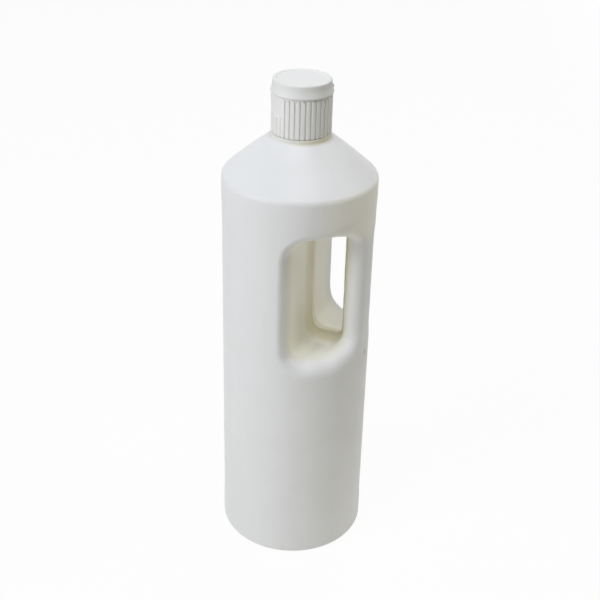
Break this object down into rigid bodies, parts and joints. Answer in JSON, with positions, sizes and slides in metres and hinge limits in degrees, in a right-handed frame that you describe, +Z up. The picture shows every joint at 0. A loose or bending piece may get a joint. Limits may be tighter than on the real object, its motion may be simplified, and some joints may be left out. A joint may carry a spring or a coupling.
{
  "type": "refill bottle",
  "caption": "White blow-moulded round refill bottle with a through grip hole, cone shoulder and a ribbed screw cap with a hinged flip lid.",
  "frame": {"origin": "centre of the base, on the plane that the bottle stands on", "axes": "+Z up the bottle's axis, +X through the middle of the grip post, the grip hole runs along Y"},
  "size_m": [0.0824, 0.0824, 0.2743],
  "materials": {
    "bottle_plastic": "satin white polyethylene",
    "cap_plastic": "satin white polypropylene",
    "seal_foam": "matt foamed polyethylene"
  },
  "bodies": {
    "bottle": {"bottle": "bottle_plastic"},
    "seal": {"seal_washer": "seal_foam"},
    "cap": {"cap_base": "cap_plastic", "hinge_strap": "cap_plastic"},
    "lid": {"cap_lid": "cap_plastic"}
  },
  "joints": [
    {"name": "cap_rise", "type": "slide", "parent": "bottle", "child": "seal", "axis": [0, 0, 1], "range_m": [0, 0.0054]},
    {"name": "cap_turn", "type": "hinge", "parent": "seal", "child": "cap", "pos_m": [0, 0, 0.256], "axis": [0, 0, 1], "range_deg": [0, 450]},
    {"name": "lid_flip", "type": "hinge", "parent": "cap", "child": "lid", "pos_m": [0.01005, 0.01334, 0.2673], "axis": [-0.7986, 0.6018, 0], "range_deg": [0, 140], "deforming": ["hinge_strap"]}
  ],
  "couplings": [
    {"joint": "cap_rise", "follows": "cap_turn", "m_per_rad": 0.00067375}
  ]
}
